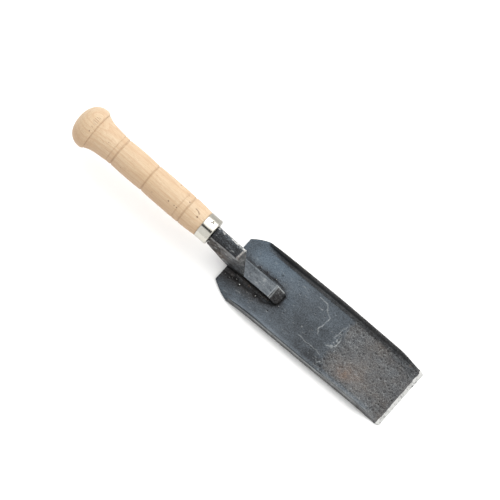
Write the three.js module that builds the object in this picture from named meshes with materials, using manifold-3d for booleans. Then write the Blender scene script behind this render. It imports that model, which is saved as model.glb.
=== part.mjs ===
// A farrier's push knife: a flanged steel blade, a cranked forged shank welded on
// top of it, and a turned wooden handle with a ferrule and a mushroom knob.
//
// Millimetres, +Z up, +X towards the cutting edge, so +Y is the tool's left. The origin
// is the middle of the blade's flat underside.

import * as THREE from 'three';
import { ConvexGeometry } from 'three/addons/geometries/ConvexGeometry.js';
import { mergeVertices } from 'three/addons/utils/BufferGeometryUtils.js';
import Module from 'manifold-3d';

const wasm = await Module();
wasm.setup();

// ---------------------------------------------------------------- dimensions

const gap = 0.3;                    // between pieces that touch

// blade: one sheet with clipped rear shoulders and turned-up sides
const bladeLength = 188;
const bladeRearX = -bladeLength / 2;
const sheetThickness = 2.5;
const rearHalfWidth = 23.2;
const shoulderHalfWidth = 31.85;
const frontHalfWidth = 29.9;
const shoulderBulge = 0.9;          // the clipped corners are slightly rounded
const shoulderLength = { left: 15, right: 19 };
const cornerRelief = 0.7;           // the front corners are worn back
const sideBow = { left: 1.65, right: 0.6 };      // the sides swell out along the flanges
const bowRise = { from: 20, to: 110 };           // distances from the rear edge
const bowFade = 26;                              // distance from the cutting edge
const flangeHeight = 6;             // above the blade's floor, at mid-length
const flangeRun = 1.1;              // how far the flange leans out over that height
const flangeFootRun = 0.3;
const flangeEdge = 2.3;             // width of the flange's top edge
const flangeBend = 2.8;             // reach of the bend into the floor
const flangeStraight = 0.45;        // the bend starts at this share of the flange's height
const edgeFace = { top: 0.76, bottom: 0.36 };    // the sheet's edge, as shares of its thickness
const flangeKnee = { out: 0.75, lift: 0.2 };     // the outside face bulges here
const flangeUnderBend = { out: 0.5, lift: 0.12 };
const flangeLean = 0.2;
const flangeRise = 32;              // length over which the flange grows from the shoulder
const flangeFade = { from: 30, to: 5 };   // it dies out at these distances from the edge
const bevelRun = 3.1;
const cuttingLand = 0.5;            // thickness kept at the cutting edge

// grip: handle, ferrule and tang share one axis, which climbs towards the knob
const gripFrontX = bladeRearX - 21.5;
const gripFrontZ = 35;
const gripClimb = THREE.MathUtils.degToRad(4.6);
const gripLength = 151.7;           // ferrule front to the crown of the knob

const ferruleRadius = 12.4;
const ferruleLength = 12;
const ferruleWall = 0.9;
const ferruleCorner = 1.4;
const ferruleHoleRadius = 6.9;

const woodFrontRadius = 12.2;       // where the wood meets the ferrule's rear edge
const bodyRadius = 13.55;
const beadRadius = 13.3;            // beside each turned groove
const grooveDepth = 0.6;
const grooveHalfWidth = 0.7;
const grooves = [30.4, 71.7, 105.3];    // distances from the ferrule's front face
// the cove flares from the last groove to the knob: radius, and distance past the groove
const cove = [[13.8, 8], [14.35, 14], [15.2, 20], [16.5, 24.2], [17.9, 26.9]];
// the knob's rolled rim, up from the crease that ends the cove: radius, and distance
const knobRim = [[17.4, 132.45], [18.2, 132.8], [19.15, 133.9]];
const knobRadius = 19.6;
const knobWidest = 136;
const knobFullness = 2.25;          // above 2, the crown is fuller than an ellipse
const knobSteps = 13;
const handleSides = 44;

const tangLength = 86;
const tangHalf = { front: 4.4, tip: 2.4 };

// shank: the foot bar on the blade, welded a little off its middle, with a dressed nose
const footTopZ = 13;
const footBottomZ = sheetThickness + gap;
const footSide = { left: 5.1, right: -8.1 };
const footRearX = bladeRearX - 1.5;
const footTopEndX = bladeRearX + 45.4;
const noseX = bladeRearX + 56;
const noseStrip = { run: 1.6, dropLeft: 0.5, dropRight: 1.2 };
const noseShoulder = { back: 2.4, z: 7.5 };
const noseTaper = { left: 0.8, right: 1.6, rightBack: 2 };

// the neck rises from the foot to the tang; its sides lean out below the top face
const neckTop = { halfWidth: 5.4, aboveAxis: 6.5 };
const neckTopFront = { z: 39, rightX: bladeRearX + 8.8, leftX: bladeRearX + 10, shift: 0.5 };
const neckFlank = { right: 9.8, left: 8.4, belowAxis: 4.8 };
const neckBelly = { halfWidth: 6, belowAxis: 9.2 };
const neckHeel = { right: -9.5, left: 7.5, z: 12 };
const neckCrease = { rightX: bladeRearX + 18.6, leftX: bladeRearX + 8.2 };
const neckBaseEndX = bladeRearX + 8;

// weld beads along both sides of the foot
const beadLeg = 3;
const beadRipple = 0.35;
const beadPitch = 3.4;
const beadHollow = 0.22;            // how far the fillet's face dips between its toes
const beadLip = 0.1;                // thickness at the toes
const beadStart = bladeRearX + 11;
const beadEnd = bladeRearX + 47;

// ------------------------------------------------------------------ materials

const finishes = {
  blade: new THREE.MeshStandardMaterial({ color: 0x646b71, roughness: 0.5, metalness: 0.9 }),
  shank: new THREE.MeshStandardMaterial({ color: 0x6b7379, roughness: 0.45, metalness: 0.9 }),
  weld: new THREE.MeshStandardMaterial({ color: 0x4d4842, roughness: 0.7, metalness: 0.7 }),
  ferrule: new THREE.MeshStandardMaterial({ color: 0xe6e2d8, roughness: 0.15, metalness: 1 }),
  wood: new THREE.MeshStandardMaterial({ color: 0xe4be97, roughness: 0.5, metalness: 0 }),
};

// -------------------------------------------------------------------- helpers

function named(name, geometry, material) {
  const mesh = new THREE.Mesh(geometry, material);
  mesh.name = name;
  return mesh;
}

// A point in the grip's own frame: u across, v up, s from the ferrule towards the knob.
function gripPoint(u, v, s) {
  return new THREE.Vector3(
    gripFrontX + v * Math.sin(gripClimb) - s * Math.cos(gripClimb),
    u,
    gripFrontZ + v * Math.cos(gripClimb) + s * Math.sin(gripClimb),
  );
}

// A closed solid between two grids of points, top[i][j] above bottom[i][j].
function slab(top, bottom) {
  const rows = top.length;
  const columns = top[0].length;
  const positions = [];
  for (const point of [...top.flat(), ...bottom.flat()]) {
    positions.push(point.x, point.y, point.z);
  }
  const above = (i, j) => i * columns + j;
  const below = (i, j) => rows * columns + i * columns + j;
  const index = [];
  const quad = (a, b, c, d) => index.push(a, b, c, a, c, d);
  for (let i = 0; i < rows - 1; i += 1) {
    for (let j = 0; j < columns - 1; j += 1) {
      quad(above(i, j), above(i + 1, j), above(i + 1, j + 1), above(i, j + 1));
      quad(below(i, j), below(i, j + 1), below(i + 1, j + 1), below(i + 1, j));
    }
    const last = columns - 1;
    quad(above(i, 0), below(i, 0), below(i + 1, 0), above(i + 1, 0));
    quad(above(i, last), above(i + 1, last), below(i + 1, last), below(i, last));
  }
  for (let j = 0; j < columns - 1; j += 1) {
    const last = rows - 1;
    quad(above(0, j), above(0, j + 1), below(0, j + 1), below(0, j));
    quad(above(last, j), below(last, j), below(last, j + 1), above(last, j + 1));
  }
  const geometry = new THREE.BufferGeometry();
  geometry.setAttribute('position', new THREE.Float32BufferAttribute(positions, 3));
  geometry.setIndex(index);
  geometry.computeVertexNormals();
  return geometry;
}

function toSolid(geometry) {
  const bare = geometry.clone();
  bare.deleteAttribute('normal');
  bare.deleteAttribute('uv');
  const merged = mergeVertices(bare, 1e-4);
  return new wasm.Manifold(new wasm.Mesh({
    numProp: 3,
    vertProperties: new Float32Array(merged.attributes.position.array),
    triVerts: new Uint32Array(merged.index.array),
  }));
}

function toGeometry(solid) {
  const mesh = solid.getMesh();
  const geometry = new THREE.BufferGeometry();
  geometry.setAttribute('position', new THREE.Float32BufferAttribute(mesh.vertProperties, 3));
  geometry.setIndex(Array.from(mesh.triVerts));
  geometry.computeVertexNormals();
  return geometry;
}

function hull(points) {
  return toSolid(new ConvexGeometry(points));
}

// ---------------------------------------------------------------------- blade

function halfWidth(x, side) {
  const along = x - bladeRearX;
  const shoulder = shoulderLength[side];
  if (along < shoulder) {
    const part = along / shoulder;
    const chord = THREE.MathUtils.lerp(rearHalfWidth, shoulderHalfWidth, part);
    return chord + shoulderBulge * Math.sin(Math.PI * part);
  }
  const part = (along - shoulder) / (bladeLength - shoulder);
  const taper = THREE.MathUtils.lerp(shoulderHalfWidth, frontHalfWidth, part);
  const bow = THREE.MathUtils.smoothstep(along, bowRise.from, bowRise.to)
    * THREE.MathUtils.smoothstep(bladeLength - along, 0, bowFade);
  const nearEdge = THREE.MathUtils.smoothstep(along, bladeLength - bevelRun, bladeLength);
  return taper + sideBow[side] * bow - cornerRelief * nearEdge;
}

// 0 where the side is flat, 1 where the flange stands at its full height
function flangeGrowth(x, side) {
  const along = x - bladeRearX;
  const shoulder = shoulderLength[side];
  const past = THREE.MathUtils.clamp((along - shoulder) / flangeRise, 0, 1);
  const rise = past * (2 - past);
  const toEdge = bladeLength - along;
  const fade = THREE.MathUtils.smoothstep(toEdge, flangeFade.to, flangeFade.from);
  return rise * fade;
}

function bladeThickness(x) {
  const intoBevel = Math.max(0, x - (bladeRearX + bladeLength - bevelRun)) / bevelRun;
  return THREE.MathUtils.lerp(sheetThickness, cuttingLand, intoBevel);
}

// Points of one side's section, from the outer edge inwards, over and under the sheet.
function flangeSection(x, side) {
  const sign = side === 'right' ? -1 : 1;
  const growth = flangeGrowth(x, side);
  const thickness = bladeThickness(x);
  const height = flangeHeight * growth;
  const outer = halfWidth(x, side);
  const crest = outer - flangeEdge;
  const fold = crest - flangeFootRun - flangeRun * growth;
  const at = (y, z) => new THREE.Vector3(x, sign * y, z);
  const bend = new THREE.QuadraticBezierCurve3(
    at(THREE.MathUtils.lerp(fold, crest, flangeStraight), thickness + flangeStraight * height),
    at(fold, thickness),
    at(fold - flangeBend, thickness),
  );
  const underFold = fold + flangeEdge + flangeFootRun;
  const underAt = ({ out, lift }) => at(
    THREE.MathUtils.lerp(underFold, outer, out),
    out * height + lift * thickness,
  );
  const underBend = new THREE.QuadraticBezierCurve3(
    underAt(flangeUnderBend),
    at(underFold, 0),
    at(underFold - flangeBend, 0),
  );
  return {
    over: [
      at(outer, height + edgeFace.top * thickness),
      at(crest, thickness + height),
      ...bend.getPoints(3),
    ],
    under: [
      at(outer - flangeLean * growth, height + edgeFace.bottom * thickness),
      underAt(flangeKnee),
      ...underBend.getPoints(3),
    ],
  };
}

function bladeStations() {
  const stations = [];
  for (let along = 0; along < 19; along += 19 / 6) stations.push(along);
  for (let along = 19; along < 55; along += 6) stations.push(along);
  for (let along = 55; along < 150; along += 19) stations.push(along);
  for (let along = 150; along < 180; along += 5) stations.push(along);
  stations.push(bladeLength - bevelRun, bladeLength - bevelRun / 2, bladeLength);
  return stations.map((along) => bladeRearX + along);
}

function bladeGeometry() {
  const top = [];
  const bottom = [];
  for (const x of bladeStations()) {
    const right = flangeSection(x, 'right');
    const left = flangeSection(x, 'left');
    top.push([...right.over, ...left.over.reverse()]);
    bottom.push([...right.under, ...left.under.reverse()]);
  }
  return slab(top, bottom);
}

// ---------------------------------------------------------------------- shank

function footSolid() {
  const { right, left } = footSide;
  const stripX = footTopEndX + noseStrip.run;
  return hull([
    new THREE.Vector3(footRearX, right, footBottomZ),
    new THREE.Vector3(footRearX, left, footBottomZ),
    new THREE.Vector3(footRearX, right, footTopZ),
    new THREE.Vector3(footRearX, left, footTopZ),
    new THREE.Vector3(footTopEndX, right, footTopZ),
    new THREE.Vector3(footTopEndX, left, footTopZ),
    new THREE.Vector3(stripX, right, footTopZ - noseStrip.dropRight),
    new THREE.Vector3(stripX, left, footTopZ - noseStrip.dropLeft),
    new THREE.Vector3(noseX - noseShoulder.back, left, noseShoulder.z),
    new THREE.Vector3(noseX - noseShoulder.back, left, footBottomZ),
    new THREE.Vector3(noseX, left - noseTaper.left, footBottomZ),
    new THREE.Vector3(noseX - 0.6, right + noseTaper.right, footBottomZ),
    new THREE.Vector3(noseX - noseTaper.rightBack, right, footBottomZ),
  ]);
}

function neckSolid() {
  const rear = -gap;
  return hull([
    gripPoint(-neckTop.halfWidth, neckTop.aboveAxis, rear),
    gripPoint(neckTop.halfWidth, neckTop.aboveAxis, rear),
    gripPoint(-neckFlank.right, -neckFlank.belowAxis, rear),
    gripPoint(neckFlank.left, -neckFlank.belowAxis, rear),
    gripPoint(-neckBelly.halfWidth, -neckBelly.belowAxis, rear),
    gripPoint(neckBelly.halfWidth, -neckBelly.belowAxis, rear),
    new THREE.Vector3(neckTopFront.rightX, neckTopFront.shift - neckTop.halfWidth, neckTopFront.z),
    new THREE.Vector3(neckTopFront.leftX, neckTopFront.shift + neckTop.halfWidth, neckTopFront.z),
    new THREE.Vector3(bladeRearX, neckHeel.right, neckHeel.z),
    new THREE.Vector3(bladeRearX, neckHeel.left, neckHeel.z),
    new THREE.Vector3(neckCrease.rightX, footSide.right, footTopZ),
    new THREE.Vector3(neckCrease.leftX, footSide.left, footTopZ),
    new THREE.Vector3(footRearX, footSide.right, footBottomZ),
    new THREE.Vector3(footRearX, footSide.left, footBottomZ),
    new THREE.Vector3(neckBaseEndX, footSide.right, footBottomZ),
    new THREE.Vector3(neckBaseEndX, footSide.left, footBottomZ),
  ]);
}

// The tang is a square taper; "ease" makes the pocket that it is driven into.
function tangSolid(ease) {
  const front = tangHalf.front + ease;
  const tip = tangHalf.tip + ease;
  const points = [];
  for (const u of [-1, 1]) {
    for (const v of [-1, 1]) {
      points.push(gripPoint(u * front, v * front, -2 - 4 * ease));
      points.push(gripPoint(u * tip, v * tip, tangLength + ease));
    }
  }
  return hull(points);
}

function shankGeometry() {
  return toGeometry(footSolid().add(neckSolid()).add(tangSolid(0)));
}

// ---------------------------------------------------------------- weld beads

// A rippled fillet in the corner between the foot's side and the blade.
function beadGeometry(side) {
  const sign = side === 'right' ? -1 : 1;
  const wall = footSide[side] + sign * gap;
  const floor = sheetThickness + gap;
  const top = [];
  const bottom = [];
  const steps = 4 * Math.round((beadEnd - beadStart) / beadPitch);
  for (let i = 0; i <= steps; i += 1) {
    const x = THREE.MathUtils.lerp(beadStart, beadEnd, i / steps);
    const ends = Math.sin(Math.PI * (0.12 + 0.76 * (i / steps))) ** 0.5;
    const leg = beadLeg * ends + beadRipple * Math.sin((2 * Math.PI * i) / 4);
    const over = [];
    const under = [];
    for (let j = 0; j <= 4; j += 1) {
      const angle = (Math.PI / 2) * (j / 4);
      const reach = leg * (1 - beadHollow * Math.sin(2 * angle));
      const across = wall + sign * (beadLip + reach * Math.cos(angle));
      over.push(new THREE.Vector3(x, across, floor + beadLip + reach * Math.sin(angle)));
      under.push(new THREE.Vector3(x, across, floor));
    }
    top.push(side === 'right' ? over : over.reverse());
    bottom.push(side === 'right' ? under : under.reverse());
  }
  return slab(top, bottom);
}

// -------------------------------------------------------------------- ferrule

function lathe(points, sides) {
  const geometry = new THREE.LatheGeometry(points, sides);
  // a lathe turns about +Y; the grip's frame runs along +Z
  geometry.rotateX(Math.PI / 2);
  return geometry;
}

function arcPoints(centreR, centreS, radiusR, radiusS, from, to, steps) {
  const points = [];
  for (let i = 0; i <= steps; i += 1) {
    const angle = THREE.MathUtils.lerp(from, to, i / steps);
    const r = centreR + radiusR * Math.cos(angle);
    const s = centreS + radiusS * Math.sin(angle);
    points.push(new THREE.Vector2(r, s));
  }
  return points;
}

// A drawn cup: closed in front but for the tang's hole, with a rounded front corner.
function ferruleGeometry() {
  const inner = ferruleRadius - ferruleWall;
  const corner = arcPoints(
    ferruleRadius - ferruleCorner, ferruleCorner, ferruleCorner, ferruleCorner,
    -Math.PI / 2, 0, 5,
  );
  const profile = [
    new THREE.Vector2(ferruleHoleRadius, 0),
    ...corner,
    new THREE.Vector2(ferruleRadius, ferruleLength),
    new THREE.Vector2(inner, ferruleLength),
    new THREE.Vector2(inner, ferruleWall),
    new THREE.Vector2(ferruleHoleRadius, ferruleWall),
    new THREE.Vector2(ferruleHoleRadius, 0),
  ];
  return lathe(profile, 48);
}

// --------------------------------------------------------------------- handle

// Radius of the turned body, without its grooves, between the ferrule and the knob.
function bodyProfile() {
  const [first, second, third] = grooves;
  const woodFront = ferruleLength + gap;
  return new THREE.SplineCurve([
    new THREE.Vector2(woodFrontRadius, woodFront),
    new THREE.Vector2(beadRadius - 0.35, (woodFront + first) / 2),
    new THREE.Vector2(beadRadius, first),
    new THREE.Vector2(bodyRadius, first + 15),
    new THREE.Vector2(bodyRadius, second - 12),
    new THREE.Vector2(beadRadius, second),
    new THREE.Vector2(bodyRadius, second + 12),
    new THREE.Vector2(bodyRadius, third - 10),
    new THREE.Vector2(beadRadius, third),
    ...cove.map(([radius, past]) => new THREE.Vector2(radius, third + past)),
  ]);
}

function withGrooves(points) {
  const clear = grooveHalfWidth * 2;
  const kept = points.filter((point) => grooves.every((at) => Math.abs(point.y - at) > clear));
  for (const at of grooves) {
    kept.push(new THREE.Vector2(beadRadius, at - grooveHalfWidth));
    kept.push(new THREE.Vector2(beadRadius - grooveDepth, at - grooveHalfWidth / 3));
    kept.push(new THREE.Vector2(beadRadius - grooveDepth, at + grooveHalfWidth / 3));
    kept.push(new THREE.Vector2(beadRadius, at + grooveHalfWidth));
  }
  return kept.sort((a, b) => a.y - b.y);
}

// The rolled rim, then a crown that is a little fuller than an ellipse.
function knobProfile() {
  const rim = knobRim.map(([radius, at]) => new THREE.Vector2(radius, at));
  const crown = [];
  for (let i = 0; i < knobSteps; i += 1) {
    const angle = (Math.PI / 2) * (i / knobSteps);
    const r = knobRadius * Math.cos(angle) ** (2 / knobFullness);
    const s = knobWidest + (gripLength - knobWidest) * Math.sin(angle) ** (2 / knobFullness);
    crown.push(new THREE.Vector2(r, s));
  }
  return [...rim, ...crown, new THREE.Vector2(0, gripLength)];
}

function handleGeometry() {
  const spigotRadius = ferruleRadius - ferruleWall - gap;
  const spigotFront = ferruleWall + gap;
  const body = withGrooves(bodyProfile().getSpacedPoints(30));
  const profile = [
    new THREE.Vector2(0, spigotFront),
    new THREE.Vector2(spigotRadius, spigotFront),
    new THREE.Vector2(spigotRadius, ferruleLength + gap),
    ...body,
    ...knobProfile(),
  ];
  return lathe(profile, handleSides);
}

// The turned handle stands in the grip's frame, so the pocket is cut in that frame.
function handleWithPocket(gripMatrix) {
  const inverse = gripMatrix.clone().invert();
  const pocket = toGeometry(tangSolid(gap));
  pocket.applyMatrix4(inverse);
  return toGeometry(toSolid(handleGeometry()).subtract(toSolid(pocket)));
}

// ------------------------------------------------------------------- assembly

const knife = new THREE.Group();

knife.add(named('blade', bladeGeometry(), finishes.blade));
knife.add(named('shank', shankGeometry(), finishes.shank));
knife.add(named('weld_bead_left', beadGeometry('left'), finishes.weld));
knife.add(named('weld_bead_right', beadGeometry('right'), finishes.weld));

const grip = new THREE.Group();
grip.position.copy(gripPoint(0, 0, 0));
grip.rotation.y = gripClimb - Math.PI / 2;
grip.updateMatrixWorld(true);
grip.add(named('ferrule', ferruleGeometry(), finishes.ferrule));
grip.add(named('handle', handleWithPocket(grip.matrixWorld), finishes.wood));
knife.add(grip);

export default knife;
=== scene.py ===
"""Looks for a farrier's push knife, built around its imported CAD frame.

Shapes are worked out in millimetres, in the CAD frame or in the grip's own frame,
and mesh_piece() turns them into metres.
"""

import math

import bmesh
import bpy
import numpy as np
from mathutils import Matrix, Vector


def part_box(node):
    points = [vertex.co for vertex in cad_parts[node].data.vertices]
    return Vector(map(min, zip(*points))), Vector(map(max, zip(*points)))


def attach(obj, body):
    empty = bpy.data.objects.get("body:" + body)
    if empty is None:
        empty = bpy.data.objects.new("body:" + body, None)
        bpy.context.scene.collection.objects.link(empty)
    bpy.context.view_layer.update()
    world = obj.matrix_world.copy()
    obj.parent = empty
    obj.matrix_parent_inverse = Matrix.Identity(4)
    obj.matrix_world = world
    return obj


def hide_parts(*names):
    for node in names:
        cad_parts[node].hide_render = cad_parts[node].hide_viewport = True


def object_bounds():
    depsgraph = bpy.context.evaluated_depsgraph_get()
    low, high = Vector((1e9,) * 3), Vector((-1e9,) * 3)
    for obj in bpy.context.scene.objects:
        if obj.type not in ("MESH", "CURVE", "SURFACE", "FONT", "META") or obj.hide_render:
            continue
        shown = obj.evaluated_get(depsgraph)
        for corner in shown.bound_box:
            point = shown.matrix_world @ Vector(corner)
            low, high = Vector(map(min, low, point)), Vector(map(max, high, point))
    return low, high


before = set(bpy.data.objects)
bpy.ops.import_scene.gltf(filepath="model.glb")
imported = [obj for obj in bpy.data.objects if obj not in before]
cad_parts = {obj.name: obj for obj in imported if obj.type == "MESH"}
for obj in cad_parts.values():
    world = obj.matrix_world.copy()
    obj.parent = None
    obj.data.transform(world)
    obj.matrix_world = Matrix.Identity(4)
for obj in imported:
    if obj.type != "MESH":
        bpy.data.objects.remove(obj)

CAD_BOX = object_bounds()
MM = 0.001


def box_mm(node):
    low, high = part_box(node)
    return np.array(low) / MM, np.array(high) / MM


# ---- dimensions

BLADE_LOW, BLADE_HIGH = box_mm("blade")
REAR_X = BLADE_LOW[0]
EDGE_X = BLADE_HIGH[0]
BLADE_LENGTH = EDGE_X - REAR_X
SHEET = 2.5
REAR_HALF_WIDTH = 23.2
SHOULDER_HALF_WIDTH = 31.85
FRONT_HALF_WIDTH = 29.9
SHOULDER_BULGE = 0.9
SHOULDER_LENGTH = {"left": 15, "right": 19}
CORNER_RELIEF = 0.7
SIDE_BOW = {"left": 1.65, "right": 0.6}
BOW_RISE = (20, 110)
BOW_FADE = 26
FLANGE_HEIGHT = 6
FLANGE_RUN = 1.1
FLANGE_FOOT_RUN = 0.3
FLANGE_EDGE = 2.3
FLANGE_BEND = 2.8
FLANGE_RISE = 32
FLANGE_FADE = (5, 30)
FLANGE_FACE = (0.55, 0.36)          # top and foot of its outer face, in sheet thicknesses
# knees on its underside: (share of the way out from the fold, sheet thicknesses)
FLANGE_KNEES = ((0.75, 0.2), (0.5, 0.12))
FLANGE_LEAN = 0.2
FLANGE_STRAIGHT = 0.45              # how high up the flange its bend ends
BEVEL_RUN = 3.1
BEVEL_NIB = 5                       # its run on the left corner
CUTTING_LAND = 0.5
EDGE_ZONE = 6                       # the finely divided stretch behind the cutting edge
FLOOR_COLUMNS = 100

FOOT_SIDE = {"left": 5.1, "right": -8.1}
FOOT_TOP_END_X = REAR_X + 45.4
NOSE_STRIP = 1.6
# the top edge of the nose's left side, in the plane of X and Z
NOSE_SLOPE = ((FOOT_TOP_END_X + NOSE_STRIP, 12.5), (FOOT_TOP_END_X + NOSE_STRIP + 6.6, 7.5))
NECK_END_X = REAR_X + 8.8
SHANK_VOXEL = 0.30

BEAD_LEG = 3
BEAD_PITCH = 3.4
BEAD_GAP = 0.03                     # kept clear of the foot and the blade

GRIP_CLIMB = math.radians(4.6)
FERRULE_RADIUS = 12.4
FERRULE_LENGTH = 12
FERRULE_WALL = 0.9
FERRULE_HOLE = 6.9
GROOVES = (30.4, 71.7, 105.3)
GROOVE_DEPTH = 0.62
GROOVE_HALF_WIDTH = 1.2
FAINT_RINGS = (36.9, 110.2)
FAINT_DEPTH = 0.36
RIM_CREASE = 132.2                  # where the cove meets the knob's rolled rim
KNOB_RADIUS = 19.6
KNOB_WIDEST = 136
KNOB_FULLNESS = 2.25
GRIP_LENGTH = 151.7
POCKET_DEPTH = 86.4
POCKET_RADIUS = (3.9, 6.7)          # at its end and at its mouth
SPIGOT_RADIUS = 11.1
SPIGOT_FRONT = 1.3
WOOD_SHOULDER = 12.1                # where the wood comes out from under the ferrule
MARK_DEPTH = 0.18
GRIP_SIDES = 200
FERRULE_SIDES = 240


# ---- maths

def ease(value, low, high):
    """0 at low and 1 at high, with a smooth run between them."""
    part = np.clip((value - low) / (high - low), 0, 1)
    return part * part * (3 - 2 * part)


def lerp(a, b, part):
    return a + (b - a) * part


def value_noise(points, size, seed):
    """Smooth random values from -1 to 1 that change over about size."""
    scaled = np.asarray(points, float) / size
    base = np.floor(scaled).astype(np.int64)
    part = scaled - base
    soft = part * part * (3 - 2 * part)
    total = np.zeros(len(scaled))
    for corner in np.ndindex(2, 2, 2):
        cell = base + np.array(corner)
        mixed = cell[:, 0] * 73856093 ^ cell[:, 1] * 19349663 ^ cell[:, 2] * 83492791
        mixed = (mixed + seed * 668265263) & 0xFFFFFFFF
        mixed = ((mixed ^ (mixed >> 15)) * 2246822519) & 0xFFFFFFFF
        mixed = ((mixed ^ (mixed >> 13)) * 3266489917) & 0xFFFFFFFF
        value = ((mixed ^ (mixed >> 16)) & 0xFFFF) / 32767.5 - 1
        total += value * np.prod(np.where(corner, soft, 1 - soft), axis=1)
    return total


def fractal(points, size, seed, octaves=3):
    total = 0
    reach = 1
    for octave in range(octaves):
        total = total + reach * value_noise(points, size / 2**octave, seed + octave)
        reach /= 2
    return total / (2 - 2 * reach)


def line_distance(points, path):
    """Distance from each point to a polyline, in the plane of its first two axes."""
    best = np.full(len(points), 1e9)
    for start, end in zip(path[:-1], path[1:]):
        start = np.array(start, float)
        run = np.array(end, float) - start
        part = np.clip(((points[:, :2] - start) @ run) / (run @ run), 0, 1)
        gap = points[:, :2] - start - part[:, None] * run
        best = np.minimum(best, np.hypot(gap[:, 0], gap[:, 1]))
    return best


def falloff(gap, width):
    """1 where the gap is 0, falling smoothly to 0 at about twice the width."""
    return np.exp(-((gap / width) ** 2))


def spot(points, centre, reach):
    """1 at the centre, falling smoothly to 0 at about twice the reach."""
    offset = (points[:, : len(centre)] - np.array(centre)) / np.array(reach)
    return np.exp(-np.sum(offset * offset, axis=1))


def spots(points, patches):
    """Adds up several spots, each given as (amount, centre, reach)."""
    return sum(amount * spot(points, centre, reach) for amount, centre, reach in patches)


# ---- meshes

def mesh_piece(name, points, faces, sharp_angle=40):
    mesh = bpy.data.meshes.new(name)
    mesh.from_pydata((np.asarray(points) * MM).tolist(), [], faces)
    shell = bmesh.new()
    shell.from_mesh(mesh)
    bmesh.ops.recalc_face_normals(shell, faces=shell.faces)
    shell.to_mesh(mesh)
    shell.free()
    mesh.shade_smooth()
    mesh.set_sharp_from_angle(angle=math.radians(sharp_angle))
    piece = bpy.data.objects.new(name, mesh)
    bpy.context.scene.collection.objects.link(piece)
    return piece


def ring_faces(rings, around, first=0, closed=False):
    """Quads between rings of points; closed also joins the last ring to the first."""
    faces = []
    for i in range(rings if closed else rings - 1):
        a = first + i * around
        b = first + ((i + 1) % rings) * around
        for j in range(around):
            k = (j + 1) % around
            faces.append((a + j, a + k, b + k, b + j))
    return faces


def read_mesh(items, value, width, kind):
    """One value of every vertex or edge, as rows of width numbers."""
    numbers = np.zeros(len(items) * width, kind)
    items.foreach_get(value, numbers)
    return numbers.reshape(-1, width)


def mesh_points(piece):
    return read_mesh(piece.data.vertices, "co", 3, float) / MM


def mesh_normals(piece):
    return read_mesh(piece.data.vertex_normals, "vector", 3, np.float32).astype(float)


def mesh_edges(piece):
    return read_mesh(piece.data.edges, "vertices", 2, np.int32)


def move_points(piece, points):
    piece.data.vertices.foreach_set("co", (points * MM).astype(np.float32).ravel())
    piece.data.update()


def paint(piece, **layers):
    """Stores one number per point and layer, from 0 to 1, for the materials to read."""
    for name, values in layers.items():
        layer = piece.data.attributes.new(name, "FLOAT", "POINT")
        layer.data.foreach_set("value", np.clip(values, 0, 1).astype(np.float32))


def relax(points, edges, steps, share=0.5):
    count = np.bincount(edges.ravel(), minlength=len(points))
    for _ in range(steps):
        total = np.empty_like(points)
        for axis in range(3):
            values = points[:, axis]
            total[:, axis] = np.bincount(edges[:, 0], values[edges[:, 1]], len(points))
            total[:, axis] += np.bincount(edges[:, 1], values[edges[:, 0]], len(points))
        points = points + share * (total / count[:, None] - points)
    return points


# ---- materials

class Nodes:
    """Builds a node tree. A socket given as an input is linked."""

    def __init__(self, tree):
        self.tree = tree

    def node(self, kind, inputs=None, **settings):
        node = self.tree.nodes.new("ShaderNode" + kind)
        for name, value in settings.items():
            setattr(node, name, value)
        for name, value in (inputs or {}).items():
            self.put(node.inputs[name], value)
        return node

    def put(self, socket, value):
        if isinstance(value, bpy.types.NodeSocket):
            self.tree.links.new(value, socket)
        elif socket.type == "RGBA":
            socket.default_value = (*value, 1)
        else:
            socket.default_value = value

    def span(self, value, low, high, start=0.0, end=1.0, smooth=False):
        inputs = {0: value, 1: low, 2: high, 3: start, 4: end}
        kind = "SMOOTHSTEP" if smooth else "LINEAR"
        return self.node("MapRange", inputs, interpolation_type=kind).outputs[0]

    def math(self, operation, a, b=0.0, clamp=False):
        return self.node("Math", {0: a, 1: b}, operation=operation, use_clamp=clamp).outputs[0]

    def plus(self, a, b, clamp=False):
        return self.math("ADD", a, b, clamp)

    def times(self, a, b):
        return self.math("MULTIPLY", a, b)


class Paint(Nodes):
    """The nodes of one material."""

    def __init__(self, name):
        self.material = bpy.data.materials.new(name)
        self.material.use_nodes = True
        super().__init__(self.material.node_tree)
        self.shader = self.tree.nodes["Principled BSDF"]
        local = self.node("TexCoord").outputs["Object"]
        self.place = self.mapped((1 / MM,) * 3, local)

    def mapped(self, scale, vector=None, location=(0, 0, 0), rotation=(0, 0, 0)):
        inputs = {
            "Vector": vector or self.place,
            "Location": location,
            "Rotation": rotation,
            "Scale": scale,
        }
        return self.node("Mapping", inputs).outputs["Vector"]

    def layer(self, name):
        return self.node("Attribute", attribute_name=name).outputs["Fac"]

    def noise(self, scale, detail, roughness, vector=None):
        inputs = {
            "Vector": vector or self.place,
            "Scale": scale,
            "Detail": detail,
            "Roughness": roughness,
        }
        return self.node("TexNoise", inputs).outputs["Fac"]

    def mix(self, amount, a, b, blend="MIX"):
        inputs = {0: amount, 6: a, 7: b}
        return self.node("Mix", inputs, data_type="RGBA", blend_type=blend).outputs[2]

    def ramp(self, value, stops):
        node = self.node("ValToRGB", {0: value})
        elements = node.color_ramp.elements
        while len(elements) < len(stops):
            elements.new(0.5)
        for element, (position, colour) in zip(elements, stops):
            element.position = position
            element.color = (*colour, 1)
        return node.outputs["Color"]

    def bump(self, height, distance, strength):
        inputs = {"Height": height, "Distance": distance * MM, "Strength": strength}
        return self.node("Bump", inputs).outputs["Normal"]

    def finish(self, **inputs):
        for name, value in inputs.items():
            self.put(self.shader.inputs[name.replace("_", " ")], value)
        return self.material


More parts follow.
